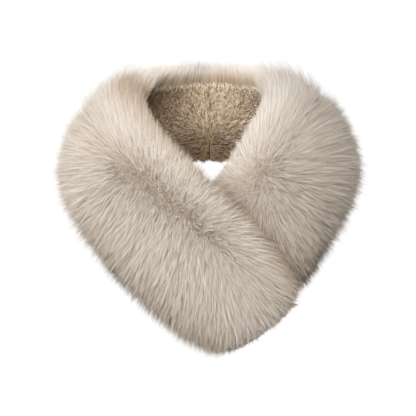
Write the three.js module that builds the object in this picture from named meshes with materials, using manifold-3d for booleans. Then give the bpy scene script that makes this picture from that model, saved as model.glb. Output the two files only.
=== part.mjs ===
// A long-haired fur collar, worn: one band of fur that stands up round the back of the neck,
// rolls out over the shoulders and crosses on the chest, with a short plush lining inside.
// Millimetres, +Z up. The wearer faces -Y. The origin is the middle of the neck opening, level
// with the lower edge of the back. The fur's solids reach to the tips of the hair.
import * as THREE from "three";
import { mergeVertices } from "three/addons/utils/BufferGeometryUtils.js";
import manifold from "manifold-3d";

const wasm = await manifold();
wasm.setup();

// The collar's driving sizes
const liningThickness = 7.5; // backing and short pile
const seamGap = 0.3; // between two pieces that are sewn together
const pressGap = 0.4; // between the upper front and the hair it presses flat
const rimReach = 0.6; // of the fringe, that the pressing space keeps at the fur's underside
const sideSeam = 1.5; // where the back meets the fronts, in rows of the tables below
const pressedFrom = 3.5; // where the upper front starts to lie on the other, in rows
const ridgeFullness = 0.85; // under 1 the fur's round is fuller than an ellipse
const rimHeight = 7; // of the fur's edge over the plane of the lining's edges
const rimUnder = 1.5; // height of the fur's underside half way out to its edge
const liningRound = 1.8; // taken off the corners of the lining's edges
const tuftDepth = 1.6; // how far the locks at the edge stand out and fall back
const stationSpacing = 8; // along the band, which also makes each lock two stations wide
const rowSpacing = 58; // about, along the band from one row of a table to the next
const endRounding = 0.55; // rows over which a front end narrows to its rounded tip
const endSquareness = 2.6; // 2 is a half circle, and more is squarer
const tipShare = 0.22; // of the full section, left at the very end
const partWidth = 0.24; // of the valley where the hair parts, as a share of half the lining's width
const domeSteps = 22; // round the fur's section, from edge to edge
const liningSteps = 8; // across the lining, from edge to edge

// Sections across the band, from the centre back to the front end. neck and hem are the lining's
// two edges as [x, y, z]. arch is how far the lining bows out between them. pile is the height of
// the hair over the lining. neckFringe and hemFringe are how far the hair hangs past its edges.
// part is where across the band the hair parts, from -1 at the neck edge to 1 at the hem, and
// partDepth is how deep the valley is there.
const overFront = [
  { at: "centre back", neck: [0, 70, 92], hem: [0, 82, 0],
    arch: 4, pile: 40, neckFringe: 26, hemFringe: 3, part: 0, partDepth: 0 },
  { at: "back quarter", neck: [-52, 50, 90], hem: [-76, 66, -12],
    arch: 10, pile: 42, neckFringe: 25, hemFringe: 8, part: -0.2, partDepth: 0 },
  { at: "side back", neck: [-75, 16, 85], hem: [-124, 26, -36],
    arch: 20, pile: 48, neckFringe: 20, hemFringe: 14, part: -0.5, partDepth: 0 },
  { at: "side front", neck: [-76, -24, 71], hem: [-131, -24, -55],
    arch: 21, pile: 46, neckFringe: 16, hemFringe: 15, part: -0.45, partDepth: 2 },
  { at: "front quarter", neck: [-55, -62, 42], hem: [-115, -60, -83],
    arch: 18, pile: 41, neckFringe: 14, hemFringe: 15, part: -0.38, partDepth: 7 },
  { at: "throat", neck: [-8, -90, -4], hem: [-92, -86, -109],
    arch: 12, pile: 44, neckFringe: 13, hemFringe: 16, part: -0.42, partDepth: 9 },
  { at: "crossing", neck: [34, -103, -46], hem: [-55, -102, -145],
    arch: 10, pile: 42, neckFringe: 13, hemFringe: 17, part: -0.48, partDepth: 7 },
  { at: "breast", neck: [70, -104, -90], hem: [-16, -108, -175],
    arch: 10, pile: 40, neckFringe: 13, hemFringe: 17, part: -0.5, partDepth: 2 },
  { at: "end", neck: [106, -102, -146], hem: [31, -110, -202],
    arch: 8, pile: 34, neckFringe: 13, hemFringe: 15, part: -0.4, partDepth: 0 },
];
// The other front, written on the same side and mirrored. It lies under the first from the throat on.
const underFront = [
  { at: "centre back", neck: [0, 70, 92], hem: [0, 82, 0],
    arch: 4, pile: 40, neckFringe: 26, hemFringe: 3, part: 0, partDepth: 0 },
  { at: "back quarter", neck: [-52, 50, 90], hem: [-76, 66, -12],
    arch: 10, pile: 42, neckFringe: 25, hemFringe: 8, part: -0.2, partDepth: 0 },
  { at: "side back", neck: [-64, 18, 87], hem: [-124, 26, -38],
    arch: 21, pile: 52, neckFringe: 20, hemFringe: 14, part: -0.5, partDepth: 0 },
  { at: "side front", neck: [-63, -24, 73], hem: [-131, -24, -55],
    arch: 22, pile: 47, neckFringe: 14, hemFringe: 15, part: -0.6, partDepth: 3 },
  { at: "front quarter", neck: [-43, -62, 42], hem: [-119, -58, -85],
    arch: 18, pile: 40, neckFringe: 12, hemFringe: 15, part: -0.58, partDepth: 7 },
  { at: "throat", neck: [-12, -74, -4], hem: [-102, -74, -117],
    arch: 6, pile: 28, neckFringe: 10, hemFringe: 14, part: -0.42, partDepth: 5 },
  { at: "crossing", neck: [28, -68, -44], hem: [-67, -74, -150],
    arch: 4, pile: 14, neckFringe: 8, hemFringe: 8, part: -0.3, partDepth: 0 },
  { at: "breast", neck: [56, -68, -82], hem: [-26, -76, -166],
    arch: 4, pile: 12, neckFringe: 8, hemFringe: 8, part: -0.2, partDepth: 0 },
  { at: "end", neck: [78, -70, -114], hem: [6, -80, -178],
    arch: 4, pile: 10, neckFringe: 8, hemFringe: 8, part: -0.2, partDepth: 0 },
];
const lastRow = overFront.length - 1;

const furMaterial = (color) => new THREE.MeshStandardMaterial({ color, roughness: 0.9, metalness: 0 });
const materials = {
  fur: furMaterial("#d3c7ba"),
  lining: furMaterial("#a98d6a"),
};

// The row before the centre back is the row after it, mirrored; the row past the end runs straight on.
function rowAt(rows, index) {
  const flat = (r) => [
    ...r.neck, ...r.hem, r.arch, r.pile, r.neckFringe, r.hemFringe, r.part, r.partDepth,
  ];
  if (index > lastRow) {
    const [last, before] = [flat(rows[lastRow]), flat(rows[lastRow - 1])];
    return last.map((v, i) => 2 * v - before[i]);
  }
  const values = flat(rows[Math.abs(index)]);
  if (index < 0) {
    values[0] *= -1;
    values[3] *= -1;
  }
  return values;
}

// All columns of a table at s rows from the centre back, on a smooth curve through its rows.
function columnsAt(rows, s) {
  const i = Math.min(Math.floor(s), lastRow - 1);
  const f = s - i;
  const [a, b, c, d] = [-1, 0, 1, 2].map((k) => rowAt(rows, i + k));
  return b.map(
    (p, k) =>
      0.5 *
      (2 * p +
        (c[k] - a[k]) * f +
        (2 * a[k] - 5 * p + 4 * c[k] - d[k]) * f ** 2 +
        (3 * p - a[k] - 3 * c[k] + d[k]) * f ** 3),
  );
}

// One section across the band: its middle, the direction from neck edge to hem, the direction out
// of the body, and its sizes. mirror is -1 for the front that is written mirrored.
function sectionAt(rows, s, mirror) {
  const edges = (v) => [new THREE.Vector3(v[0], v[1], v[2]), new THREE.Vector3(v[3], v[4], v[5])];
  const middle = (v) => new THREE.Vector3().addVectors(...edges(v)).multiplyScalar(0.5);
  const step = 0.01;
  const values = columnsAt(rows, s);
  const [neck, hem] = edges(values);
  const along = middle(columnsAt(rows, Math.min(s + step, lastRow)));
  along.sub(middle(columnsAt(rows, Math.min(s, lastRow - step))));
  const across = new THREE.Vector3().subVectors(hem, neck);
  const halfWidth = across.length() / 2;
  across.normalize();
  const out = new THREE.Vector3().crossVectors(across, along).normalize();
  const centre = middle(values);
  for (const v of [centre, across, out]) v.x *= mirror;
  const [arch, pile, neckFringe, hemFringe, part, partDepth] = values.slice(6);
  return { centre, across, out, halfWidth, arch, pile, neckFringe, hemFringe, part, partDepth };
}

// How much of the full section is left near a front's end.
function endScale(s) {
  const share = Math.max(0, (s - (lastRow - endRounding)) / endRounding);
  return Math.max(tipShare, (1 - share ** endSquareness) ** (1 / endSquareness));
}

// The lining's bow at t, from -1 at the neck edge to 1 at the hem.
const bow = (section, t) => section.arch * (1 - t ** 2);

// Even places across the lining, as t.
const fromNeckToHem = () => Array.from({ length: liningSteps + 1 }, (_, i) => (2 * i) / liningSteps - 1);

// How deep the fur falls in where its hair parts.
const valley = (section, a) =>
  section.partDepth * Math.exp(-(((a / section.halfWidth - section.part) / partWidth) ** 2));

// Round the fur's section, as [across, out]: over the hair from neck edge to hem, and back under
// it along the lining.
function furOutline(section, tuft) {
  const { halfWidth, arch, pile, neckFringe, hemFringe } = section;
  const crown = arch + liningThickness + pile - rimHeight;
  const points = [];
  for (let i = 0; i <= domeSteps; i++) {
    const angle = (Math.PI * i) / domeSteps;
    const [c, s] = [Math.cos(angle), Math.sin(angle)];
    const fringe = (c > 0 ? neckFringe : hemFringe) + tuft * c ** 4;
    const a = -Math.sign(c) * Math.abs(c) ** ridgeFullness * (halfWidth + fringe);
    points.push([a, rimHeight + crown * s ** ridgeFullness - valley(section, a) * s]);
  }
  const edge = halfWidth + seamGap;
  points.push([edge + hemFringe / 2, rimUnder], [edge, rimUnder]);
  const seat = fromNeckToHem().map((t) => [t * edge, bow(section, t) + liningThickness + seamGap]);
  points.push(...seat.reverse());
  points.push([-edge, rimUnder], [-edge - neckFringe / 2, rimUnder]);
  return points;
}

// Round the lining's section in the same way: a soft wall with rounded edges.
function liningOutline(section) {
  const { halfWidth } = section;
  const inset = (t) => (Math.abs(t) === 1 ? liningRound : 0);
  const outer = fromNeckToHem().map((t) => [t * halfWidth, bow(section, t) + liningThickness - inset(t)]);
  const inner = fromNeckToHem().map((t) => [t * halfWidth, bow(section, t) + inset(t)]);
  return [...outer, ...inner.reverse()];
}

// Round everything of one front, its fur and its lining, with a little air all round. It is the
// space that the upper front takes out of the hair under it.
function pressOutline(section) {
  const swollen = { ...section };
  for (const side of ["neckFringe", "hemFringe", "pile"]) swollen[side] += pressGap;
  const dome = furOutline(swollen, tuftDepth).slice(0, domeSteps + 1);
  const edge = section.halfWidth + pressGap;
  const inside = fromNeckToHem().map((t) => [t * edge, bow(section, t) - pressGap]);
  const rim = (side, fringe) => [side * (edge + fringe * rimReach), rimUnder - pressGap];
  return [...dome, rim(1, section.hemFringe), ...inside.reverse(), rim(-1, section.neckFringe)];
}

// A closed solid through rings of equal point counts, capped at both ends.
function loft(rings, outlines) {
  const size = rings[0].length;
  const positions = rings.flat().flatMap((p) => [p.x, p.y, p.z]);
  const faces = [];
  for (let r = 0; r + 1 < rings.length; r++) {
    for (let k = 0; k < size; k++) {
      const [a, b] = [r * size + k, r * size + ((k + 1) % size)];
      faces.push([a, b, a + size], [b, b + size, a + size]);
    }
  }
  // The cap's triangles always turn one way, so they are turned the way of the outline.
  const cap = (outline) => {
    const contour = outline.map((p) => new THREE.Vector2(...p));
    const triangles = THREE.ShapeUtils.triangulateShape(contour, []);
    const turn = THREE.ShapeUtils.area(triangles[0].map((v) => contour[v])) * THREE.ShapeUtils.area(contour);
    return turn < 0 ? triangles.map(([a, b, c]) => [a, c, b]) : triangles;
  };
  const lastRing = (rings.length - 1) * size;
  const startCap = cap(outlines[0]);
  const endCap = cap(outlines[outlines.length - 1]).map((f) => f.map((v) => v + lastRing));
  faces.push(...startCap.map(([a, b, c]) => [a, c, b]), ...endCap);
  const volume = faces.reduce((sum, [a, b, c]) => {
    const [p, q, r] = [a, b, c].map((v) => new THREE.Vector3().fromArray(positions, v * 3));
    return sum + p.dot(q.cross(r));
  }, 0);
  if (volume < 0) faces.forEach((f) => f.reverse());
  const geometry = new THREE.BufferGeometry();
  geometry.setAttribute("position", new THREE.Float32BufferAttribute(positions, 3));
  geometry.setIndex(faces.flat());
  geometry.computeVertexNormals();
  return geometry;
}

// A piece of the band between two places, each [table, mirror, rows from the centre back].
// outlineOf gives the section's outline.
function bandPiece(name, places, outlineOf, material) {
  const [rings, outlines] = [[], []];
  places.forEach(({ rows, mirror, s }, n) => {
    const section = sectionAt(rows, s, mirror);
    const scale = endScale(s);
    const outline = outlineOf(section, n % 2 ? tuftDepth : -tuftDepth);
    outlines.push(outline);
    rings.push(
      outline.map(([a, b]) =>
        section.centre
          .clone()
          .addScaledVector(section.across, a * scale)
          .addScaledVector(section.out, b * scale),
      ),
    );
  });
  const mesh = new THREE.Mesh(loft(rings, outlines), material);
  mesh.name = name;
  return mesh;
}

// Even places from s = from to s = to on one side.
function placesOn(rows, mirror, from, to) {
  const steps = Math.round(((to - from) * rowSpacing) / stationSpacing);
  return Array.from({ length: steps + 1 }, (_, i) => ({ rows, mirror, s: from + ((to - from) * i) / steps }));
}

const solidOf = (mesh) => {
  const points = new THREE.BufferGeometry();
  points.setAttribute("position", mesh.geometry.getAttribute("position"));
  points.setIndex(mesh.geometry.getIndex());
  const { index, attributes } = mergeVertices(points, 1e-4);
  return new wasm.Manifold(
    new wasm.Mesh({
      numProp: 3,
      vertProperties: new Float32Array(attributes.position.array),
      triVerts: new Uint32Array(index.array),
    }),
  );
};

// The mesh with the other mesh's space taken out of it, as one body.
function cutBy(mesh, tool) {
  const bodies = solidOf(mesh).subtract(solidOf(tool)).decompose();
  const body = bodies.reduce((a, b) => (b.volume() > a.volume() ? b : a));
  const { vertProperties, triVerts, numProp } = body.getMesh();
  const geometry = new THREE.BufferGeometry();
  const positions = Array.from({ length: vertProperties.length / numProp }, (_, i) => [
    ...vertProperties.slice(i * numProp, i * numProp + 3),
  ]);
  geometry.setAttribute("position", new THREE.Float32BufferAttribute(positions.flat(), 3));
  geometry.setIndex([...triVerts]);
  geometry.computeVertexNormals();
  const result = new THREE.Mesh(geometry, mesh.material);
  result.name = mesh.name;
  return result;
}

const halfGap = seamGap / 2 / rowSpacing; // half a seam's gap, in rows
const over = (from, to) => placesOn(overFront, 1, from, to);
const under = (from, to) => placesOn(underFront, -1, from, to);

const pressed = bandPiece("pressed", over(pressedFrom, lastRow), pressOutline, materials.fur);

const collar = new THREE.Group();
collar.name = "fur_collar_wrap";
collar.add(
  bandPiece(
    "fur_back",
    [...under(0, sideSeam - halfGap).reverse(), ...over(0, sideSeam - halfGap).slice(1)],
    furOutline,
    materials.fur,
  ),
  bandPiece("fur_front_over", over(sideSeam + halfGap, lastRow), furOutline, materials.fur),
  cutBy(
    bandPiece("fur_front_under", under(sideSeam + halfGap, lastRow), furOutline, materials.fur),
    pressed,
  ),
  bandPiece("lining_over", over(halfGap, lastRow), liningOutline, materials.lining),
  bandPiece("lining_under", under(halfGap, lastRow), liningOutline, materials.lining),
);

export default collar;
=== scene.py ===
import math

import bpy
import numpy as np
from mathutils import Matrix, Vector


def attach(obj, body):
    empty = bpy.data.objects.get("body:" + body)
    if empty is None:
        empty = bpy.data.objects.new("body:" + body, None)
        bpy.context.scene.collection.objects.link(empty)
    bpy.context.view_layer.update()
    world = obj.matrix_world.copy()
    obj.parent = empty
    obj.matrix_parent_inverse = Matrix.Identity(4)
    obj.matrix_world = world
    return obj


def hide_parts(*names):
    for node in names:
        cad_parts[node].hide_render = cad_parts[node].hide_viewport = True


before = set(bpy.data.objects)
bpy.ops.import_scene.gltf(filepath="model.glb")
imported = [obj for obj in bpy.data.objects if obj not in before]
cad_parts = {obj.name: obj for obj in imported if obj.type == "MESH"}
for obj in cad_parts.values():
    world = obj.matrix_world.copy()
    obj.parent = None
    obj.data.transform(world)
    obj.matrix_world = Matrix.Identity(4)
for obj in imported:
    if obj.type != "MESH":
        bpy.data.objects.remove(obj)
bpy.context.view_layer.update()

mm = 0.001
bpy.context.scene.view_settings.view_transform = "Standard"

# The collar's pattern, in millimetres as it was cut. It has the same rows as the solids, from the
# centre back to the end of a front, and three columns more that say how the hair is combed:
# forward is how far it leans towards the front's end where it parts, and the naps are how far it
# does for each step that it leans to that edge.
collar = {
    "liningThickness": 7.5,
    "ridgeFullness": 0.85,
    "rimHeight": 7.0,
    "rimUnder": 1.5,
    "rowSpacing": 58.0,
    "sideSeam": 1.5,
    "seamGap": 0.3,
    "endRounding": 0.55,
    "endSquareness": 2.6,
    "tipShare": 0.22,
    "partWidth": 0.24,
}
columnNames = (
    "neckX", "neckY", "neckZ", "hemX", "hemY", "hemZ",
    "arch", "pile", "neckFringe", "hemFringe", "part", "partDepth", "napNeck", "napHem", "forward",
)
overRows = np.array([
    (0, 70, 92, 0, 82, 0, 4, 40, 26, 3, 0.0, 0, 0.0, 0.0, 0.0),  # centre back
    (-52, 50, 90, -76, 66, -12, 10, 42, 25, 8, -0.2, 0, -0.3, -0.3, -0.5),  # back quarter
    (-75, 16, 85, -124, 26, -36, 20, 48, 20, 14, -0.5, 0, -0.5, -0.8, -1.3),  # side back
    (-76, -24, 71, -131, -24, -55, 21, 46, 16, 15, -0.45, 2, -0.6, -0.7, -1.1),  # side front
    (-55, -62, 42, -115, -60, -83, 18, 41, 14, 15, -0.38, 7, -0.35, -0.1, 0.1),  # front quarter
    (-8, -90, -4, -92, -86, -109, 12, 44, 13, 16, -0.42, 9, -0.15, 0.2, 0.2),  # throat
    (34, -103, -46, -55, -102, -145, 10, 42, 13, 17, -0.48, 7, 0.45, 0.5, 0.3),  # crossing
    (70, -104, -90, -16, -108, -175, 10, 40, 13, 17, -0.50, 2, 1.4, 0.8, 1.2),  # breast
    (106, -102, -146, 31, -110, -202, 8, 34, 13, 15, -0.40, 0, 2.5, 1.4, 2.2),  # end
])
underRows = np.array([
    (0, 70, 92, 0, 82, 0, 4, 40, 26, 3, 0.0, 0, 0.0, 0.0, 0.0),
    (-52, 50, 90, -76, 66, -12, 10, 42, 25, 8, -0.2, 0, -0.3, -0.3, -0.5),
    (-64, 18, 87, -124, 26, -38, 21, 52, 20, 14, -0.5, 0, -0.5, -0.8, -1.3),
    (-63, -24, 73, -131, -24, -55, 22, 47, 14, 15, -0.6, 3, -0.5, -0.7, -1.1),
    (-43, -62, 42, -119, -58, -85, 18, 40, 12, 15, -0.58, 7, -0.3, -0.2, -0.3),
    (-12, -74, -4, -102, -74, -117, 6, 28, 10, 14, -0.42, 5, 0.0, 0.2, 0.9),
    (28, -68, -44, -67, -74, -150, 4, 14, 8, 8, -0.3, 0, 0.3, 0.3, 1.0),
    (56, -68, -82, -26, -76, -166, 4, 12, 8, 8, -0.2, 0, 0.5, 0.4, 1.0),
    (78, -70, -114, 6, -80, -178, 4, 10, 8, 8, -0.2, 0, 0.5, 0.4, 1.0),
])
lastRow = len(overRows) - 1
over = {"rows": overRows, "mirror": 1.0}
under = {"rows": underRows, "mirror": -1.0}  # written on the other side, and turned over
sizes = {name: k for k, name in enumerate(columnNames)}


def columnsAt(rows, s):
    before, after = rows[1].copy(), 2 * rows[-1] - rows[-2]
    before[[0, 3]] *= -1  # the row before the centre back is the row after it, turned over
    padded = np.vstack([before, rows, after])
    i = np.clip(np.floor(s), 0, lastRow - 1).astype(int)
    f = (s - i)[..., None]
    a, b, c, d = (padded[i + k] for k in range(4))
    return 0.5 * (2 * b + (c - a) * f + (2 * a - 5 * b + 4 * c - d) * f**2
                  + (3 * b - a - 3 * c + d) * f**3)


def unit(v):
    return v / np.maximum(np.linalg.norm(v, axis=-1, keepdims=True), 1e-9)


def sectionsAt(front, s):
    s = np.asarray(s, float)
    held = np.clip(s, 0, lastRow)
    rows = front["rows"]
    values = columnsAt(rows, held)
    middle = lambda v: (v[..., 0:3] + v[..., 3:6]) / 2
    step = 0.01
    ahead = middle(columnsAt(rows, np.minimum(held + step, lastRow)))
    behind = middle(columnsAt(rows, np.minimum(held, lastRow - step)))
    across = values[..., 3:6] - values[..., 0:3]
    section = {name: values[..., k] for name, k in sizes.items()}
    section["halfWidth"] = np.linalg.norm(across, axis=-1) / 2
    section["pace"] = np.linalg.norm(ahead - behind, axis=-1) / step
    section["across"] = unit(across)
    section["out"] = unit(np.cross(across, ahead - behind))
    section["along"] = np.cross(section["out"], section["across"])
    section["past"] = (s - held) * collar["rowSpacing"]
    section["s"] = s
    section["centre"] = middle(values)
    for key in ("centre", "across", "out", "along"):
        section[key] = section[key] * (front["mirror"], 1, 1)
    share = np.clip((held - (lastRow - collar["endRounding"])) / collar["endRounding"], 0, 1)
    squareness = collar["endSquareness"]
    section["scale"] = np.maximum(collar["tipShare"], (1 - share**squareness) ** (1 / squareness))
    section["crown"] = section["arch"] + collar["liningThickness"] + section["pile"] - collar["rimHeight"]
    return section


def placed(section, a, b):
    point = section["centre"] + section["across"] * a[..., None] + section["out"] * b[..., None]
    return (point + section["along"] * section["past"][..., None]) * mm


def bow(section, t):
    return section["arch"] * (1 - np.clip(t, -1, 1) ** 2)


# How deep the fur falls in where its hair parts, a from the middle of the full section.
def valley(section, a):
    off = (a / section["halfWidth"] - section["part"]) / collar["partWidth"]
    return np.maximum(section["partDepth"], 0) * np.exp(-(off**2))


# Meshes

def meshObject(name, points, faces, smooth=True):
    mesh = bpy.data.meshes.new(name)
    corners = np.concatenate([f.ravel() for f in faces]).astype(np.int32)
    counts = np.concatenate([np.full(len(f), f.shape[1]) for f in faces])
    starts = np.concatenate([[0], np.cumsum(counts)[:-1]]).astype(np.int32)
    mesh.vertices.add(len(points))
    mesh.vertices.foreach_set("co", np.ascontiguousarray(points, np.float32).ravel())
    mesh.loops.add(len(corners))
    mesh.loops.foreach_set("vertex_index", corners)
    mesh.polygons.add(len(counts))
    mesh.polygons.foreach_set("loop_start", starts)
    mesh.polygons.foreach_set("use_smooth", np.full(len(counts), smooth))
    mesh.update(calc_edges=True)
    piece = bpy.data.objects.new(name, mesh)
    bpy.context.scene.collection.objects.link(piece)
    return piece


def addVertexValues(piece, name, kind, field, values):
    layer = piece.data.attributes.new(name, kind, "POINT")
    layer.data.foreach_set(field, np.ascontiguousarray(values, np.float32).ravel())


# A closed body through rings of points, all with the same number of points.
def loftBody(name, rings, material):
    count, size = rings.shape[:2]
    index = np.arange(count * size).reshape(count, size)
    turned = np.roll(index, -1, axis=1)
    quads = np.stack([index[:-1], turned[:-1], turned[1:], index[1:]], axis=-1).reshape(-1, 4)
    points = rings.reshape(-1, 3)
    middles = rings[[0, -1]].mean(axis=1)
    points = np.vstack([points, middles])
    first = np.stack([turned[0], index[0], np.full(size, count * size)], axis=-1)
    last = np.stack([index[-1], turned[-1], np.full(size, count * size + 1)], axis=-1)
    faces = [quads, first, last]
    a, b, c = (points[np.vstack([quads[:, :3], quads[:, [0, 2, 3]], first, last])[:, k]] for k in range(3))
    if np.einsum("ij,ij->i", a, np.cross(b, c)).sum() < 0:
        faces = [f[:, ::-1] for f in faces]
    piece = meshObject(name, points, faces)
    piece.data.materials.append(material)
    return piece


# Materials

def nodeTree(material):
    material.use_nodes = True
    tree = material.node_tree
    return tree, tree.nodes["Principled BSDF"]


def newGroup(name, inputs, outputs):
    group = bpy.data.node_groups.new(name, "ShaderNodeTree")
    for label, kind, value in inputs:
        socket = group.interface.new_socket(name=label, in_out="INPUT", socket_type=kind)
        socket.default_value = value
    for label, kind in outputs:
        group.interface.new_socket(name=label, in_out="OUTPUT", socket_type=kind)
    return group, group.nodes.new("NodeGroupInput"), group.nodes.new("NodeGroupOutput")


def mathNode(tree, operation, first, second, third=None, clamp=False):
    node = tree.nodes.new("ShaderNodeMath")
    node.operation = operation
    node.use_clamp = clamp
    for socket, value in zip(node.inputs, (first, second, third)):
        if value is None:
            continue
        if isinstance(value, (int, float)):
            socket.default_value = value
        else:
            tree.links.new(value, socket)
    return node.outputs[0]


def mixColor(tree, factor, first, second, blend="MIX"):
    node = tree.nodes.new("ShaderNodeMix")
    node.data_type = "RGBA"
    node.blend_type = blend
    node.clamp_factor = True
    for socket, value in zip((node.inputs[0], node.inputs[6], node.inputs[7]), (factor, first, second)):
        if isinstance(value, (int, float)):
            socket.default_value = value
        elif isinstance(value, tuple):
            socket.default_value = value
        else:
            tree.links.new(value, socket)
    return node.outputs[2]


# Hair colour from root to tip, with its own shade for each hair and each lock, and a painted shade mixed in
# where the tone's alpha says.
def makeHairColor():
    group, given, result = newGroup(
        "hairColor",
        [
            ("Root", "NodeSocketColor", (0.3, 0.2, 0.1, 1)),
            ("Middle", "NodeSocketColor", (0.6, 0.5, 0.4, 1)),
            ("Tip", "NodeSocketColor", (0.8, 0.7, 0.6, 1)),
            ("Shade Color", "NodeSocketColor", (0.3, 0.2, 0.1, 1)),
            ("Strand Spread", "NodeSocketFloat", 0.2),
            ("Lock Spread", "NodeSocketFloat", 0.2),
            ("Painted Shade Strength", "NodeSocketFloat", 0.2),
        ],
        [("Color", "NodeSocketColor")],
    )
    tone = group.nodes.new("ShaderNodeAttribute")
    tone.attribute_name = "tone"
    split = group.nodes.new("ShaderNodeSeparateColor")
    group.links.new(tone.outputs["Color"], split.inputs[0])
    length, strand, lock = split.outputs
    lower = mixColor(group, mathNode(group, "MULTIPLY", length, 2, clamp=True),
                     given.outputs["Root"], given.outputs["Middle"])
    upper = mathNode(group, "MULTIPLY_ADD", length, 2, -1, clamp=True)
    color = mixColor(group, upper, lower, given.outputs["Tip"])
    # The tone's alpha carries painted shade, which turns the hair towards the shade colour.
    shadeMixShare = mathNode(group, "MULTIPLY", tone.outputs["Alpha"], given.outputs["Painted Shade Strength"])
    color = mixColor(group, shadeMixShare, color, given.outputs["Shade Color"])
    browner = mathNode(group, "POWER", strand, 2)
    brownness = mathNode(group, "MULTIPLY", browner, given.outputs["Strand Spread"])
    brownShare = mathNode(group, "MULTIPLY", brownness, mathNode(group, "MULTIPLY_ADD", length, -0.6, 1))
    color = mixColor(group, brownShare, color, given.outputs["Root"])
    lockTone = mathNode(group, "SUBTRACT", lock, 0.5)
    lockShade = mathNode(group, "MULTIPLY", lockTone, given.outputs["Lock Spread"])
    shade = mathNode(group, "ADD", lockShade, 1)
    gray = group.nodes.new("ShaderNodeCombineColor")
    for socket in gray.inputs:
        group.links.new(shade, socket)
    color = mixColor(group, 1.0, color, gray.outputs[0], "MULTIPLY")
    group.links.new(color, result.inputs["Color"])
    return group


# In both finishes the dark hair colour is that of the painted shade, and the part depth is how far the
# painted shade turns the hair to it.
furFinish = {
    "root": (0.46, 0.33, 0.21, 1),
    "middle": (0.82, 0.71, 0.59, 1),
    "tip": (0.955, 0.895, 0.825, 1),
    "shadeColor": (0.38, 0.28, 0.19, 1),
    "strandSpread": 1.0,
    "lockSpread": 0.18,
    "partDepth": 0.38,
    "roughness": 0.62,
    "specular": 0.25,
}
plushFinish = {
    "root": (0.66, 0.47, 0.27, 1),
    "middle": (0.98, 0.82, 0.62, 1),
    "tip": (1.0, 0.91, 0.78, 1),
    "shadeColor": (0.14, 0.065, 0.02, 1),
    "strandSpread": 0.2,
    "lockSpread": 0.22,
    "partDepth": 0.8,
    "roughness": 0.7,
    "specular": 0.2,
}


def hairMaterial(name, group, finish):
    material = bpy.data.materials.new(name)
    tree, shader = nodeTree(material)
    color = tree.nodes.new("ShaderNodeGroup")
    color.node_tree = group
    for label, key in (("Root", "root"), ("Middle", "middle"), ("Tip", "tip"), ("Shade Color", "shadeColor"),
                       ("Strand Spread", "strandSpread"), ("Lock Spread", "lockSpread"),
                       ("Painted Shade Strength", "partDepth")):
        color.inputs[label].default_value = finish[key]
    tree.links.new(color.outputs["Color"], shader.inputs["Base Color"])
    shader.inputs["Roughness"].default_value = finish["roughness"]
    shader.inputs["Specular IOR Level"].default_value = finish["specular"]
    return material


# Skin and underfur: a mottled colour with a fine bump.
def coverMaterial(name, finish):
    material = bpy.data.materials.new(name)
    tree, shader = nodeTree(material)
    place = tree.nodes.new("ShaderNodeTexCoord")
    noise = tree.nodes.new("ShaderNodeTexNoise")
    noise.inputs["Scale"].default_value = finish["scale"]
    noise.inputs["Detail"].default_value = 4
    tree.links.new(place.outputs["Object"], noise.inputs["Vector"])
    color = mixColor(tree, noise.outputs["Fac"], finish["dark"], finish["light"])
    tree.links.new(color, shader.inputs["Base Color"])
    bump = tree.nodes.new("ShaderNodeBump")
    bump.inputs["Strength"].default_value = 0.4
    bump.inputs["Distance"].default_value = finish["relief"]
    tree.links.new(noise.outputs["Fac"], bump.inputs["Height"])
    tree.links.new(bump.outputs["Normal"], shader.inputs["Normal"])
    shader.inputs["Roughness"].default_value = finish["roughness"]
    shader.inputs["Specular IOR Level"].default_value = 0.2
    return material


hairColor = makeHairColor()
furMaterial = hairMaterial("longFur", hairColor, furFinish)
plushMaterial = hairMaterial("shortPlush", hairColor, plushFinish)
underfurMaterial = coverMaterial("underfur", {
    "scale": 420, "dark": (0.38, 0.30, 0.23, 1), "light": (0.62, 0.53, 0.43, 1),
    "relief": 0.001, "roughness": 0.9,
})
peltMaterial = coverMaterial("dressedPelt", {
    "scale": 160, "dark": (0.50, 0.42, 0.33, 1), "light": (0.66, 0.58, 0.48, 1),
    "relief": 0.0004, "roughness": 0.8,
})
backingMaterial = coverMaterial("plushBacking", {
    "scale": 520, "dark": (0.42, 0.29, 0.17, 1), "light": (0.62, 0.46, 0.30, 1),
    "relief": 0.0008, "roughness": 0.9,
})
# A near black for the strip in the lining's seam, painted shade.
creaseMaterial = coverMaterial("creaseShade", {
    "scale": 520, "dark": (0.07, 0.04, 0.02, 1), "light": (0.14, 0.08, 0.04, 1),
    "relief": 0.0004, "roughness": 1.0,
})
print("materials made")

# The band's bodies under the hair: the underfur that fills its middle, and the pelt below it.
underfur = {"height": 0.72, "frontHeight": 0.75, "fringe": 0.14, "steps": 22}
pelt = {"thickness": 1.4}


def stretchOf(pieces, spacing=6.0):
    stations = []
    for front, start, end in pieces:
        count = int(round(abs(end - start) * collar["rowSpacing"] / spacing))
        stations += [(front, s) for s in np.linspace(start, end, count + 1)]
    return stations


def ringsOn(stations, outlineOf):
    rings = []
    for front, s in stations:
        section = sectionsAt(front, np.array([s]))
        a, b = outlineOf(section)
        scale = section["scale"]
        rings.append(placed(section, a * scale, b * scale))
    return np.array(rings)


# 0 at the sides of the neck, 1 from where the part shows on the fronts.
def towardsFront(s):
    share = np.clip((s - 3.0) / 1.2, 0, 1)
    return share**2 * (3 - 2 * share)


def underfurHeight(s):
    return underfur["height"] + (underfur["frontHeight"] - underfur["height"]) * towardsFront(s)


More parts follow.
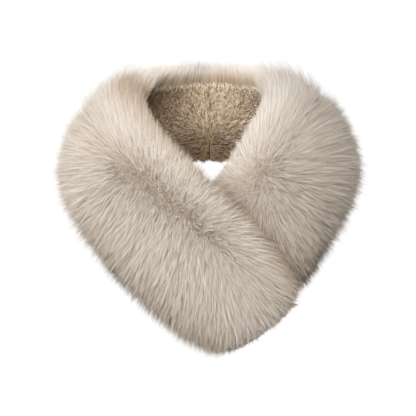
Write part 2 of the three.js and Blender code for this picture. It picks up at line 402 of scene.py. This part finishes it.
def underfurOutline(section):
    angle = np.linspace(0, math.pi, underfur["steps"] + 1)
    c, s = np.cos(angle), np.sin(angle)
    full = collar["ridgeFullness"]
    fringe = np.where(c > 0, section["neckFringe"], section["hemFringe"]) * underfur["fringe"]
    a = -np.sign(c) * np.abs(c) ** full * (section["halfWidth"] + fringe)
    rise = section["crown"] * np.abs(s) ** full - valley(section, a) * np.abs(s)
    b = collar["rimHeight"] + rise * underfurHeight(section["s"])
    t = np.linspace(1, -1, 13)
    seat = bow(section, t) + collar["liningThickness"] + pelt["thickness"] + 0.6
    return np.concatenate([a, t * (section["halfWidth"] - 0.5)]), np.concatenate([b, seat])


def peltOutline(section):
    t = np.linspace(-1, 1, 15)
    half = section["halfWidth"]
    low = bow(section, t) + collar["liningThickness"] + 0.3
    return np.concatenate([t * half, t[::-1] * half]), np.concatenate([low + pelt["thickness"], low[::-1]])


seam = collar["sideSeam"]
stretches = {
    "back": [(under, seam, 0.0), (over, 0.06, seam)],
    "over": [(over, seam, lastRow - 0.12)],
    "under": [(under, seam, lastRow - 0.12)],
}
underfurs, pelts = {}, {}
for part, stretch in stretches.items():
    stations = stretchOf(stretch)
    underfurs[part] = loftBody("underfur_" + part, ringsOn(stations, underfurOutline), underfurMaterial)
    pelts[part] = loftBody("pelt_" + part, ringsOn(stations, peltOutline), peltMaterial)
print("underfur and pelts made")

# The hair grows in locks, each of a few hairs that draw together towards their tips. Long guard
# hairs lie over a finer down.
longHair = {
    "lean": math.radians(68),  # from straight out, at the band's edges
    "under": math.radians(26),  # more than that, at the last row under the fringe
    "crosswise": 0.3,  # how far a hair's flat side turns about its length
    "inFront": 0.3,  # share of the back's hair that is added on its side at the neck
    "wrap": 1.16,  # how far past the edges the rows of locks go, to hair the fringe's underside
    "droop": 0.38,  # how much later a hair leans over than it rises
    "loose": 0.17,  # more spread of the locks' lengths at the fronts' edges
    "backLonger": 0.01,  # how much longer the locks are on the back
    "neckShorter": 0.09,  # how much shorter they are towards the fronts' neck edge
    "cornerIn": math.radians(26),  # how much more the hair leans into the opening at its corners
    "endShorter": 0.12,  # the same again at the fronts' ends
    "neckLoose": 0.1,  # more spread of the lengths along the neck opening's sides
    "tuckShorter": 0.08,  # where the under front goes in behind the upper one
    "hemTip": 0.34,  # painted shade: how much less pale the tips are at the hem, where the fur turns from the light
    "neckTip": 0.9,  # painted shade: the same past the upper front's neck edge, over the lining's shadow
    "neckEven": 0.4,  # how much less the hairs differ towards the neck edge
    "neckPale": 0.45,  # how much sooner the hair turns pale there
    "partPale": 0.35,  # painted light: the same near the part, lifting the shade where the hair is seen end-on
    "hemShade": 0.3,  # painted shade: how much later it turns pale at the hem, where the fur turns from the light
    "bandShade": 2.7,  # painted shade: how much later it turns pale on the back's inner side, in the collar's hollow
    "inner": 0.62,  # length of the locks inside the fronts' neck edge, as a share
    "cornerLift": 2.4,  # how far its light turns up in the opening's corners
    "bend": 0.2,  # mm that a lock curves to a side
    "dip": 0.25,  # of the part's depth, that is left between the tips of the hair
    "flatten": 0.16,  # how much less than the form its light turns away at the hem
    "flattenUnder": -0.1,  # the same on the under front
    "flattenNeck": 0.6,  # the same at the neck edge of both
    "softness": 0.88,  # how far the light on a hair follows the fur's whole form
    "endShade": 0.46,  # painted shade: how much browner the hair is towards the upper front's end
    "leftShade": 0.68,  # painted shade: the same at the wearer's left side, away from the light
    "rightShade": 0.2,  # painted shade: the same at the wearer's right side
    "creaseShade": 1.5,  # painted shade: how dark the under front's hair is along the upper front's neck edge
    "creaseReach": 24.0,  # mm from that edge
    "mixing": 0.06,  # how far the part differs from lock to lock
    "partWander": 0.04,  # how far it wanders along the band
    "napWander": 0.06,  # how far the nap does
    "scatter": 0.021,  # how far any lock's lean is off the combed one
    "partScatter": 0.10,  # more than that, close to the part
    "cornerRow": 2.4,  # the row at the opening's corners
    "shadedLocks": 0.22,  # share of the locks at the part that get painted shade, the dark dots where one looks into the fur
}
guard = {
    "hairsInLock": 4,
    "segments": 2,  # lengths that each hair bends between
    "width": 0.31,  # mm, as are the lock's radius and stray
    "lockRadius": 0.55,
    "gather": 0.3,  # of a lock's width, left at the tips
    "stray": 0.5,  # how far a tip may lie off its lock
    "lockLengths": (0.97, 0.06),  # mean and spread
    "longLocks": 0.05,  # more on average, that few locks have much of
    "lengths": (0.90, 1.05),  # of a hair, as shares of its lock's
}
down = {
    "hairsInLock": 4,
    "segments": 1,
    "width": 0.25,
    "lockRadius": 0.6,
    "gather": 0.5,
    "stray": 0.5,
    "lockLengths": (0.93, 0.06),
    "longLocks": 0.02,
    "lengths": (0.86, 1.03),
}
partHair = {
    "hairsInLock": 3,
    "segments": 1,
    "width": 0.36,
    "lockRadius": 0.6,
    "gather": 0.3,
    "stray": 2.1,
    "lockLengths": (0.97, 0.06),
    "longLocks": 0.02,
    "lengths": (0.84, 1.04),
    "aside": 0.17,  # how far from the part it grows, as a share of half the band's width
}


def fringeAt(section, a):
    return np.where(a < 0, section["neckFringe"], section["hemFringe"])


def envelope(section, height, fringe, a, b):
    power = 2 / collar["ridgeFullness"]
    a, b = a / section["scale"], b / section["scale"]
    reach = section["halfWidth"] + fringeAt(section, a) * fringe
    rise = np.maximum(b - collar["rimHeight"], 0) / height + valley(section, a) * longHair["dip"]
    return (np.abs(a) / reach) ** power + (rise / section["crown"]) ** power


# How far from the root a hair goes until it comes out of a body of that height and fringe.
def lengthTo(front, root, lean, height, fringe):
    low, high = np.zeros(len(root[0])), np.full(len(root[0]), 110.0)
    for _ in range(16):
        half = (low + high) / 2
        section = sectionsAt(front, root[0] + half * lean[0] / root[3])
        inside = envelope(section, height, fringe, root[1] + half * lean[1], root[2] + half * lean[2]) < 1
        low, high = np.where(inside, half, low), np.where(inside, high, half)
    return low


def wander(s, u, seed):
    return (np.sin(3.1 * s + 2.2 * u + seed) + np.sin(7.3 * s - 4.1 * u + 2.7 * seed)
            + 0.6 * np.sin(13.7 * s + 9.3 * u + 1.9 * seed)) / 2.6


def combed(front, s, u, rng):
    section = sectionsAt(front, s)
    part = section["part"] + longHair["partWander"] * wander(s, 0 * u, 4.0)
    part = part + rng.normal(0, longHair["mixing"], len(s))
    side = u - part
    reach = np.where(side < 0, 1 + part, 1 - part)
    share = np.abs(side) / reach
    angle = longHair["lean"] * np.minimum(share, 1) ** (0.32 + 0.16 * towardsFront(s))
    angle += longHair["under"] * np.clip((np.abs(u) - 1) / (longHair["wrap"] - 1), 0, 1)
    atCorner = np.exp(-(((s - longHair["cornerRow"]) / 0.7) ** 2))
    angle += longHair["cornerIn"] * atCorner * np.clip((-u - 0.65) / 0.3, 0, 1)
    nap = np.where(side < 0, section["napNeck"], section["napHem"])
    nap = nap + longHair["napWander"] * wander(s, u, 1.0)
    sideways = unit(np.stack([nap, np.sign(side)], axis=-1)) * np.sin(angle)[:, None]
    forward = section["forward"] * np.exp(-(np.abs(side) / 0.55) ** 2)
    lean = np.stack([sideways[:, 0] + forward * np.cos(angle), sideways[:, 1], np.cos(angle)], axis=-1)
    scatter = longHair["scatter"] + longHair["partScatter"] * np.exp(-(side / 0.17) ** 2)
    lean += rng.normal(0, 1, lean.shape) * scatter[:, None]
    # Painted shade at the part: some locks there are darkened, like the dark dots seen where one looks
    # end-on into the fur.
    paintedShade = np.exp(-(side / 0.12) ** 2) * np.clip((s - 3.3) / 0.8, 0, 1) * np.clip((7.2 - s) / 1.2, 0, 1)
    paintedShade = paintedShade * (rng.uniform(0, 1, len(s)) < longHair["shadedLocks"])
    return section, unit(lean), paintedShade


def growLocks(front, kind, start, end, locks, rng):
    s = rng.uniform(start, end, locks * 2)
    width = sectionsAt(front, s)
    keep = rng.uniform(0, 1, len(s)) < (width["halfWidth"] + width["pile"]) * width["scale"] / 125
    s = s[keep][:locks]
    u = rng.uniform(-longHair["wrap"], longHair["wrap"], len(s))
    if start < seam:
        u = np.where(rng.uniform(0, 1, len(s)) < longHair["inFront"], -np.abs(u) * 0.45 - 0.64, u)
    if "aside" in kind:
        u = sectionsAt(front, s)["part"] + rng.normal(0, kind["aside"], len(s))
    section, lean, paintedShade = combed(front, s, u, rng)
    edge = np.clip(u, -1, 1)
    a = edge * section["halfWidth"] * section["scale"]
    seat = bow(section, edge) + collar["liningThickness"] + 1
    past = np.clip((np.abs(u) - 1) / (longHair["wrap"] - 1), 0, 1)
    lowest = np.where(u < 0, 2.0 + 4.0 * np.clip((s - 0.9) / 0.8, 0, 1), 3.0)
    b = (seat * (1 - past) + lowest * past) * section["scale"]
    root = (s, a, b, section["pace"])
    return {"front": front, "root": root, "lean": lean.T, "paintedShade": paintedShade, "inner": past * (u < 0),
            "edge": np.clip((np.abs(u) - 0.5) / 0.5, 0, 1), "neckward": np.clip((-u - 0.4) / 0.5, 0, 1),
            # how soon each hair turns pale, with painted shade on the back's inner side and at the hem, and
            # painted light near the part
            "browningAndShade": np.where((past > 0) & (u < 0) & (s < 1.3), longHair["bandShade"],
                                 1 - longHair["neckPale"] * np.clip((-u - 0.4) / 0.5, 0, 1)
                                 - longHair["partPale"] * np.exp(-(((u - section["part"]) / 0.4) ** 2))
                                 + longHair["hemShade"] * np.clip((u - 0.4) / 0.5, 0, 1)),
            "full": lengthTo(front, root, lean.T, 1.0, 1.0),
            "covered": lengthTo(front, root, lean.T, underfurHeight(s), underfur["fringe"])}


def formNormal(front, section, s, a, b):
    power = 2 / collar["ridgeFullness"] - 1
    reach = section["halfWidth"] + fringeAt(section, a)
    sideways = np.sign(a) * (np.abs(a) / reach) ** power / reach
    rise = np.maximum(b - collar["rimHeight"], 0) / section["crown"]
    outwards = rise**power / section["crown"]
    normal = unit(section["across"] * sideways[:, None] + section["out"] * outwards[:, None])
    onNeck = (a < 0) * np.clip((s - 0.9) / 0.5, 0, 1)
    flatten = longHair["flattenUnder"] if front is under else longHair["flatten"]
    flatten = flatten + (longHair["flattenNeck"] - flatten) * onNeck
    normal += section["out"] * flatten[:, None]
    end = np.clip((s - lastRow) / collar["endRounding"] + 1, 0, 1.2) ** 2
    return unit(normal + section["along"] * end[:, None])


def hairsFrom(locks, kind, rng):
    many, steps = kind["hairsInLock"], kind["segments"]
    lockCount = len(locks["full"])
    count = lockCount * many
    spread = lambda v: np.repeat(v, many)
    s, a, b, pace = (spread(v) for v in locks["root"])
    lean = [spread(v) for v in locks["lean"]]
    full, covered = spread(locks["full"]), spread(locks["covered"])
    turn, radius = rng.uniform(0, 2 * math.pi, count), np.sqrt(rng.uniform(0, 1, count))
    offAlong = np.cos(turn) * radius * kind["lockRadius"]
    offAcross = np.sin(turn) * radius * kind["lockRadius"]
    stray = rng.normal(0, kind["stray"], (3, count))
    bend = np.repeat(rng.normal(0, longHair["bend"], (2, lockCount)), many, axis=1)
    mean, deviation = kind["lockLengths"]
    onFront = np.clip((locks["root"][0] - 1.0) / 0.6, 0, 1)
    row = locks["root"][0]
    shorter = (longHair["neckShorter"] * np.clip((row - 1.2) / 0.6, 0, 1)
               + longHair["endShorter"] * np.clip((row - 7.0) / 0.8, 0, 1))
    mean = mean + longHair["backLonger"] * (1 - onFront) - shorter * locks["neckward"]
    if locks["front"] is under:
        mean -= longHair["tuckShorter"] * np.clip((row - 4.6) / 0.6, 0, 1)
    loose = longHair["loose"] * locks["edge"] * (0.3 + 0.7 * onFront)
    loose += longHair["neckLoose"] * locks["neckward"] * np.exp(-(((row - 3.4) / 1.0) ** 2))
    lockLength = rng.normal(mean, deviation + loose)
    lockLength += rng.exponential(kind["longLocks"], lockCount) * onFront
    lockLength *= 1 - (1 - longHair["inner"]) * locks["inner"] * np.clip((row - 2.2) / 0.8, 0, 1)
    length = rng.uniform(*kind["lengths"], count) * spread(np.clip(lockLength, 0.4, 1.25))
    begin = np.clip(covered / full - 0.06, 0.0, 0.85)
    points, shares = [], []
    for k in range(steps + 1):
        t = begin + (length - begin) * k / steps
        rise = t * (1 + longHair["droop"] * (1 - t))
        fall = t * (1 - longHair["droop"] * (1 - t))
        gather = 1 - (1 - kind["gather"]) * np.clip((t - begin) / (1 - begin), 0, 1.1)
        curl = 4 * t * (1 - t)
        along = full * lean[0] * fall + offAlong * gather + stray[0] * t + bend[0] * curl
        ra = a + full * lean[1] * fall + offAcross * gather + stray[1] * t + bend[1] * curl
        rb = b + full * lean[2] * rise + stray[2] * t * 0.5
        rs = s + along / pace
        section = sectionsAt(locks["front"], rs)
        points.append(placed(section, ra, rb))
        side = ra / (section["halfWidth"] * section["scale"])
        hemward = np.clip((side - 0.45) / 0.65, 0, 1)
        pastNeck = np.clip((-side - 1.0) / 0.3, 0, 1) * np.clip((s - 2.0) / 0.6, 0, 1)
        pastNeck = pastNeck * (locks["front"] is over)
        # Painted shade on the tips: less pale at the hem and past the upper front's neck edge.
        pale = 1 - longHair["hemTip"] * hemward - longHair["neckTip"] * pastNeck
        shares.append(t ** spread(locks["browningAndShade"]) * pale)
        if k == 1:
            turned = spread(locks["inner"]) * (0.8 - 0.65 * np.clip((s - 0.7) / 0.6, 0, 1))
            facing = formNormal(locks["front"], section, rs, ra, rb)
            facing = unit(facing - turned[:, None] * section["out"])
            corner = np.exp(-(((s - 1.45) / 0.75) ** 2)) * np.clip(-ra / section["halfWidth"] - 0.3, 0, 0.7)
            corner *= np.clip((40 - rb) / 14, 0, 1)
            facing = unit(facing + (corner * longHair["cornerLift"])[:, None] * (0, -0.7, 0.7))
    return np.stack(points, axis=1), np.stack(shares, axis=1), facing


def ribbons(name, points, shares, facing, widths, tones, rng, finish, material):
    count, rows = shares.shape
    steps, size = rows - 1, 2 * rows - 1
    heading = unit(points[:, -1] - points[:, 0])
    flat = unit(np.cross(heading, facing + rng.normal(0, finish["crosswise"], facing.shape)))
    taper = np.linspace(1.0, 0.75, steps)[None, :, None]
    half = flat[:, None] * (widths[:, None, None] / 2 * mm) * taper
    verts = np.empty((count, size, 3))
    verts[:, 0:2 * steps:2] = points[:, :-1] - half
    verts[:, 1:2 * steps:2] = points[:, :-1] + half
    verts[:, -1] = points[:, -1]
    base = (np.arange(count) * size)[:, None]
    quads = [base + np.array([[2 * k, 2 * k + 1, 2 * k + 3, 2 * k + 2]]) for k in range(steps - 1)]
    tips = base + np.array([[2 * steps - 2, 2 * steps - 1, 2 * steps]])
    piece = meshObject(name, verts.reshape(-1, 3), [*quads, tips])
    tone = np.empty((count, size, 4))
    tone[:, 0:2 * steps:2, 0] = shares[:, :-1]
    tone[:, 1:2 * steps:2, 0] = shares[:, :-1]
    tone[:, -1, 0] = shares[:, -1]
    for k, value in enumerate(tones):
        tone[:, :, k + 1] = value[:, None]
    addVertexValues(piece, "tone", "FLOAT_COLOR", "color", tone)
    own = np.cross(flat, heading)
    soft = finish["softness"]
    upright = np.einsum("ij,ij->i", facing, heading)[:, None]
    bare = facing - heading * 0.8 * upright * np.sqrt(np.clip(1 - upright**2, 0, 1))
    shade = unit(bare * soft + own * (1 - soft) + rng.normal(0, 0.08, own.shape))
    addVertexValues(piece, "custom_normal", "FLOAT_VECTOR", "vector", np.repeat(shade, size, axis=0))
    piece.data.materials.append(material)
    return piece


# How much painted shade a place's hair gets where it lies under the upper front's neck edge, in that edge's
# shade.
def inCrease(front, tips):
    if front is over:
        return np.zeros(len(tips))
    s = np.linspace(4.2, lastRow, 40)
    section = sectionsAt(over, s)
    edge = placed(section, -section["halfWidth"] * section["scale"], section["arch"] * 0) / mm
    apart = np.full(len(tips), 1e3)
    for point in edge:
        apart = np.minimum(apart, np.linalg.norm(tips / mm - point, axis=1))
    wide, narrow = (np.exp(-((apart / (longHair["creaseReach"] * k)) ** 2)) for k in (1, 0.4))
    return longHair["creaseShade"] * (wide + 0.8 * narrow)


def growHair(name, kind, patches, seed, look=longHair):
    rng = np.random.default_rng(seed)
    grown = []
    for front, start, end, lockCount in patches:
        locks = growLocks(front, kind, start, end, lockCount, rng)
        points, shares, facing = hairsFrom(locks, kind, rng)
        many = kind["hairsInLock"]
        lockTone = np.repeat(rng.uniform(0, 1, len(locks["full"])), many)
        # The tone's alpha carries painted shade: along the upper front's neck edge on the under front,
        # towards the upper front's end, and at both sides.
        paintedShade = np.maximum(np.repeat(locks["paintedShade"], many), inCrease(front, points[:, -1]))
        rows = np.repeat(locks["root"][0], many)
        paintedShade += longHair["endShade"] * np.clip((rows - 5.4) / 1.8, 0, 1) * (front is over)
        paintedShade += longHair["leftShade"] * np.clip((points[:, -1, 0] / mm - 50) / 100, 0, 1)
        paintedShade += longHair["rightShade"] * np.clip((-points[:, -1, 0] / mm - 110) / 45, 0, 1)
        evenness = longHair["neckEven"] * np.repeat(locks["neckward"], many)
        strandTone = rng.uniform(0, 0.85 if look is backLook else 1, len(points)) * (1 - evenness)
        grown.append((points, shares, facing, strandTone, lockTone, paintedShade))
    points, shares, facing, *tones = [np.concatenate(values) for values in zip(*grown)]
    widths = kind["width"] * rng.uniform(0.7, 1.3, len(points))
    return ribbons(name, points, shares, facing, widths, tones, rng, look, furMaterial)


backLook = {**longHair, "crosswise": 0.15, "softness": 0.96}
# Locks of guard hair and of down in each stretch of a piece, from row to row of its table.
hairs = {
    "back": [
        growHair("hair_back", guard, [(over, 0.0, seam, 2700), (under, 0.0, seam, 2700)], 11, backLook),
        growHair("down_back", down, [(over, 0.0, seam, 7000), (under, 0.0, seam, 7000)], 12, backLook),
    ],
    "over": [
        growHair("hair_over", guard, [(over, seam, 4.6, 7000), (over, 4.6, lastRow - 0.1, 7600)], 21),
        growHair("down_over_upper", down, [(over, seam, 4.6, 24500)], 22),
        growHair("down_over_lower", down, [(over, 4.6, lastRow - 0.1, 26000)], 23),
        growHair("part_over", partHair, [(over, 3.2, 6.8, 6800)], 24),
    ],
    "under": [
        growHair("hair_under", guard, [(under, seam, 5.8, 8700), (under, 5.8, lastRow - 0.1, 300)], 31),
        growHair("down_under_upper", down, [(under, seam, 3.6, 20500)], 32),
        growHair("down_under_lower", down,
                 [(under, 3.6, 5.8, 17000), (under, 5.8, lastRow - 0.1, 1100)], 33),
        growHair("part_under", partHair, [(under, 3.2, 5.2, 3600)], 34),
    ],
}
for pieces in hairs.values():
    for piece in pieces:
        print(piece.name, sum(len(p.vertices) - 2 for p in piece.data.polygons), "triangles")
print("long hair grown")

# The lining: a backing with a short plush that leans away from the lower end of the back seam.
plush = {
    "backing": 2.4,  # mm of the lining's thickness that the pile keeps for itself
    "length": 7.5,  # mm, as are the width, the seam's sizes and the tuft's radius
    "width": 0.9,
    "lean": math.radians(64),  # from straight out
    "parting": 0.62,  # where on the back seam the pile parts, from -1 at the neck edge to 1
    "seamDepth": 3.2,
    "seamWidth": 2.4,
    "hairsInTuft": 5,
    "tuftRadius": 1.25,
    "crosswise": 0.6,  # how far a hair's flat side turns about its length
    "lift": 0.85,  # how far its light is that of tufts that turn up
    "lowerShade": 0.95,  # painted shade: how much darker it is at its lower edge, deep in the collar
    "lowerShadeTone": 2.2,  # painted shade: how much later it turns pale there
    "farShade": 0.36,  # the same on the side away from the light, of that at the lower edge
    "creaseWidth": 3.0,  # mm of the open seam between the piles at its lower end
    "nearPale": 0.8,  # how much sooner it turns pale on the side that faces the light
    "rimShade": 1.1,  # painted shade: how much darker its turned rim is on that side, a dark line under the back's fur
    "softness": 0.65,  # how far the light on it follows the pile's whole form
}


def seamTrough(section, s, t):
    near = np.exp(-((s * section["pace"] / plush["seamWidth"]) ** 2))
    return plush["seamDepth"] * near * (0.25 + 0.75 / (1 + np.exp(-(t - 0.45) * 14)))


def liningBody(name, front):
    sweep = np.concatenate([np.linspace(0, 0.25, 12), np.linspace(0.32, lastRow, 72)])
    t = np.linspace(-1, 1, 17)
    rings = []
    for s in sweep:
        section = sectionsAt(front, np.array([s]))
        inner = bow(section, t) + plush["backing"] + seamTrough(section, s, t)
        outer = bow(section, t) + collar["liningThickness"]
        half = section["halfWidth"] - 0.6 - 1.2 * (np.abs(t) == 1)
        a = np.concatenate([t * half, t[::-1] * half])
        b = np.concatenate([inner, outer[::-1]])
        rings.append(placed(section, a * section["scale"], b * section["scale"]))
    return loftBody(name, np.array(rings), backingMaterial)


# From and to which row it grows, the tufts on each half, the places along a hair, and how coarse
# it is: finer up to the side of the neck.
plushPatches = {
    "near": (0.004, 1.8, 4500, (0.0, 0.55, 1.0), 1.0),
    "far": (1.8, lastRow - 0.03, 3000, (0.0, 1.0), 1.8),
}


def growPlush(name, front, patch, seed):
    rng = np.random.default_rng(seed)
    many = plush["hairsInTuft"]
    start, end, count, steps, far = patch
    s = rng.uniform(start, end, count)
    u = rng.uniform(-1.1, 1.0, count)
    section = sectionsAt(front, s)
    clear = plush["creaseWidth"] / 2 * np.clip((u - 0.45) / 0.15, 0, 1)
    s = np.maximum(s, (clear + 0.3) / section["pace"] * (clear > 0))
    edge = np.clip(u, -1, 1)
    past = np.clip((np.abs(u) - 1) / 0.08, 0, 1)
    inner = bow(section, edge) + plush["backing"] + seamTrough(section, s, edge)
    # The lean in the cloth's plane is away from the parting on the back seam.
    away = np.stack([s * section["pace"] + 1.5, (u - plush["parting"]) * section["halfWidth"]], axis=-1)
    away = unit(unit(away) + rng.normal(0, 0.28, (count, 2)))
    away[:, 1] = np.where(past > 0, np.sign(u), away[:, 1])
    angle = plush["lean"] * rng.uniform(0.6, 1.2, count)
    angle = np.where(past > 0, math.radians(70), angle)
    length = plush["length"] * rng.uniform(0.75, 1.1, count)
    across = s * section["pace"]
    # Painted shade in the tone's alpha: in the open seam's crease at the lower end, along the upper seam,
    # at the lower edge and on the upper front's rim. Near the lower seam the tufts are also shorter.
    grooveShade = 1.25 * np.exp(-((across / 2.4) ** 2)) * (edge > 0.6)
    length *= 1 - 0.55 * np.minimum(grooveShade, 1)
    grooveShade += 0.7 * np.exp(-((across / 1.0) ** 2)) * (edge < -0.25)
    low = np.clip((edge + 0.12) / 0.92, 0, 1) ** 1.3 * np.clip((3.0 - s) / 1.0, 0.3, 1)
    if front is over:
        low = np.maximum(low, plush["farShade"] * np.clip((s - 0.2) / 1.0, 0, 1))
        low = np.maximum(low, np.clip((s - 1.1) / 0.8, 0, 0.85) * np.clip((3.2 - s) / 0.8, 0.3, 1))
    grooveShade = np.maximum(grooveShade, plush["lowerShade"] * low)
    pale = np.clip(s / 0.9, 0, 1) * np.clip(0.6 - edge, 0, 1) * (front is under)
    if front is over:
        grooveShade = np.maximum(grooveShade, plush["rimShade"] * past * (u < 0) * np.clip((s - 0.3) / 0.3, 0, 1))
    tuftTone = rng.uniform(0, 1, count)
    spread = lambda v: np.repeat(v, many, axis=0)
    s, u, edge, past, inner, away, angle, length, grooveShade, low, pale, tuftTone = (
        spread(v) for v in (s, u, edge, past, inner, away, angle, length, grooveShade, low, pale, tuftTone))
    section = sectionsAt(front, s)
    count = len(s)
    turn, radius = rng.uniform(0, 2 * math.pi, count), np.sqrt(rng.uniform(0, 1, count))
    offAlong = np.cos(turn) * radius * plush["tuftRadius"] * far
    offAcross = np.sin(turn) * radius * plush["tuftRadius"] * far
    points, shares = [], []
    for t in steps:
        reach = np.sin(angle) * length * t**1.3
        gather = 1 - 0.75 * t
        along = away[:, 0] * reach + offAlong * gather
        a = edge * (section["halfWidth"] - 1.0) * section["scale"] + away[:, 1] * reach + offAcross * gather
        b = (inner + past * 3.0) * section["scale"] - np.cos(angle) * length * t * 0.8
        moved = sectionsAt(front, np.clip(s + along / section["pace"], 0.002, lastRow))
        points.append(placed(moved, a, b))
        shares.append(t ** (1 + plush["lowerShadeTone"] * low - plush["nearPale"] * pale))
    tones = [rng.uniform(0, 1, count), tuftTone, grooveShade]
    widths = plush["width"] * rng.uniform(0.7, 1.3, count) * far
    facing = unit(np.array([0, 0, plush["lift"]]) - section["out"] + pale[:, None] * (-0.4, -1.0, 0.5))
    return ribbons(name, np.stack(points, axis=1), np.stack(shares, axis=1), facing, widths, tones,
                   rng, plush, plushMaterial)


# The open seam at the lower end of the back, a dark narrow strip between the two piles, painted shade in
# its crease.
def makeCrease():
    t = np.linspace(0.5, 1.0, 9)
    section = sectionsAt(over, np.zeros(len(t)))
    inner = bow(section, t) + plush["backing"] + seamTrough(section, 0 * t, t) - 0.3
    middle = placed(section, t * (section["halfWidth"] - 1.4), inner)
    side = np.zeros((len(t), 3))
    side[:, 0] = plush["creaseWidth"] / 2 * mm * np.clip((t - 0.45) / 0.2, 0.3, 1)
    k = np.arange(len(t) - 1)[:, None]
    faces = np.hstack([k, k + 1, k + 1 + len(t), k + len(t)])
    piece = meshObject("lining_crease_shade", np.vstack([middle - side, middle + side]), [faces])
    piece.data.materials.append(creaseMaterial)
    return piece


linings = {
    "over": liningBody("lining_backing_over", over),
    "under": liningBody("lining_backing_under", under),
}
piles = {
    "over": [growPlush("plush_over_near", over, plushPatches["near"], 41),
             growPlush("plush_over_far", over, plushPatches["far"], 43)],
    "under": [growPlush("plush_under_near", under, plushPatches["near"], 42),
              growPlush("plush_under_far", under, plushPatches["far"], 44)],
}
crease = makeCrease()
print("lining made")


# The flat cut of a stretch: its greatest width, its length and its area, in metres, at a height
# of b millimetres over the inner side's bow.
def cutOf(pieces, height):
    lines = []
    for front, start, end in pieces:
        for s in np.linspace(start, end, 120):
            section = sectionsAt(front, np.full(17, s))
            t = np.linspace(-1, 1, 17)
            b = bow(section, t) + height
            lines.append(placed(section, t * section["halfWidth"] * section["scale"], b * section["scale"]))
    grid = np.array(lines)
    widths = np.linalg.norm(np.diff(grid, axis=1), axis=2).sum(axis=1)
    length = np.linalg.norm(np.diff(grid[:, 8], axis=0), axis=1).sum()
    cross = np.cross(grid[1:, 1:] - grid[:-1, :-1], grid[1:, :-1] - grid[:-1, 1:])
    area = min(np.linalg.norm(cross, axis=2).sum() / 2, widths.max() * length)
    return {"flat": (round(widths.max(), 3), round(length, 3)), "area": round(area, 4)}


# What each piece rides on, stands for and is cut from.
nodeOf = {"back": "fur_back", "over": "fur_front_over", "under": "fur_front_under"}
for part, node in nodeOf.items():
    for piece in [underfurs[part], pelts[part], *hairs[part]]:
        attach(piece, "root")
    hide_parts(node)
    cut = cutOf(stretches[part], collar["liningThickness"] + pelt["thickness"] / 2)
    print(pelts[part].name, cut)
for part, node in (("over", "lining_over"), ("under", "lining_under")):
    onBacking = [*piles[part], crease] if part == "over" else piles[part]
    for piece in (linings[part], *onBacking):
        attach(piece, "root")
    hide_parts(node)
    cut = cutOf([(over if part == "over" else under, 0.0, lastRow)], collar["liningThickness"] / 2)
    print(linings[part].name, cut)

# A pale floor at the wearer's feet, soft light from the upper left, and a long lens.
studio = {
    "floorDrop": 1.35,
    "floorSize": 2.0,
    "ambient": 0.385,
    "backdrop": 1.02,  # what the camera sees behind the collar
    "brightSide": (-0.27, -0.8, 0.55),
    "keyPlace": (-1.0, -2.2, 2.3),
    "keySize": 3.2,
    "fillPlace": (-0.9, -2.4, -0.5),
    "fillSize": 2.0,
    "slope": 0.9,  # how much brighter that side is than the middle
    "keyPower": 97.0,
    "fillPower": 6.0,
    "distance": 3.0,  # metres from the collar to the lens
    "elevation": math.radians(8),
    "aim": (-0.0018, 0.0, -0.0474),
    "frameWidth": 0.4992,  # metres that the picture is wide at that distance
}


def makeFloor():
    half = studio["floorSize"]
    corners = np.array([(-half, -half, 0), (half, -half, 0), (half, half, 0), (-half, half, 0)], float)
    corners[:, 2] = -studio["floorDrop"]
    floor = meshObject("floor", corners, [np.array([[0, 1, 2, 3]])])
    material = bpy.data.materials.new("paleFloor")
    _, shader = nodeTree(material)
    shader.inputs["Base Color"].default_value = (0.55, 0.55, 0.55, 1)
    shader.inputs["Roughness"].default_value = 0.9
    floor.data.materials.append(material)


def softLight(name, place, size, power):
    lamp = bpy.data.lights.new(name, "AREA")
    lamp.size = size
    lamp.energy = power
    light = bpy.data.objects.new(name, lamp)
    light.location = place
    light.rotation_euler = (Vector(studio["aim"]) - Vector(place)).to_track_quat("-Z", "Y").to_euler()
    bpy.context.scene.collection.objects.link(light)


def makeWorld():
    world = bpy.data.worlds.new("studio")
    world.use_nodes = True
    tree = world.node_tree
    background = tree.nodes["Background"]
    seen = tree.nodes.new("ShaderNodeLightPath")
    place = tree.nodes.new("ShaderNodeTexCoord")
    towards = tree.nodes.new("ShaderNodeVectorMath")
    towards.operation = "DOT_PRODUCT"
    tree.links.new(place.outputs["Generated"], towards.inputs[0])
    towards.inputs[1].default_value = Vector(studio["brightSide"]).normalized() * studio["slope"]
    brightness = mathNode(tree, "ADD", towards.outputs["Value"], 1)
    light = mathNode(tree, "MULTIPLY", brightness, studio["ambient"])
    backdrop = mathNode(tree, "MULTIPLY", seen.outputs["Is Camera Ray"], studio["backdrop"])
    strength = mathNode(tree, "MAXIMUM", light, backdrop)
    background.inputs["Color"].default_value = (1, 1, 1, 1)
    tree.links.new(strength, background.inputs["Strength"])
    bpy.context.scene.world = world


def makeCamera():
    lens = bpy.data.cameras.new("camera")
    lens.sensor_width = 36
    lens.lens = lens.sensor_width * studio["distance"] / studio["frameWidth"]
    camera = bpy.data.objects.new("camera", lens)
    back = Vector((0, -math.cos(studio["elevation"]), math.sin(studio["elevation"])))
    camera.location = Vector(studio["aim"]) + back * studio["distance"]
    camera.rotation_euler = (-back).to_track_quat("-Z", "Y").to_euler()
    lens.clip_end = 100
    bpy.context.scene.collection.objects.link(camera)
    bpy.context.scene.camera = camera


makeFloor()
makeWorld()
softLight("key", studio["keyPlace"], studio["keySize"], studio["keyPower"])
softLight("fill", studio["fillPlace"], studio["fillSize"], studio["fillPower"])
makeCamera()
print("studio made")
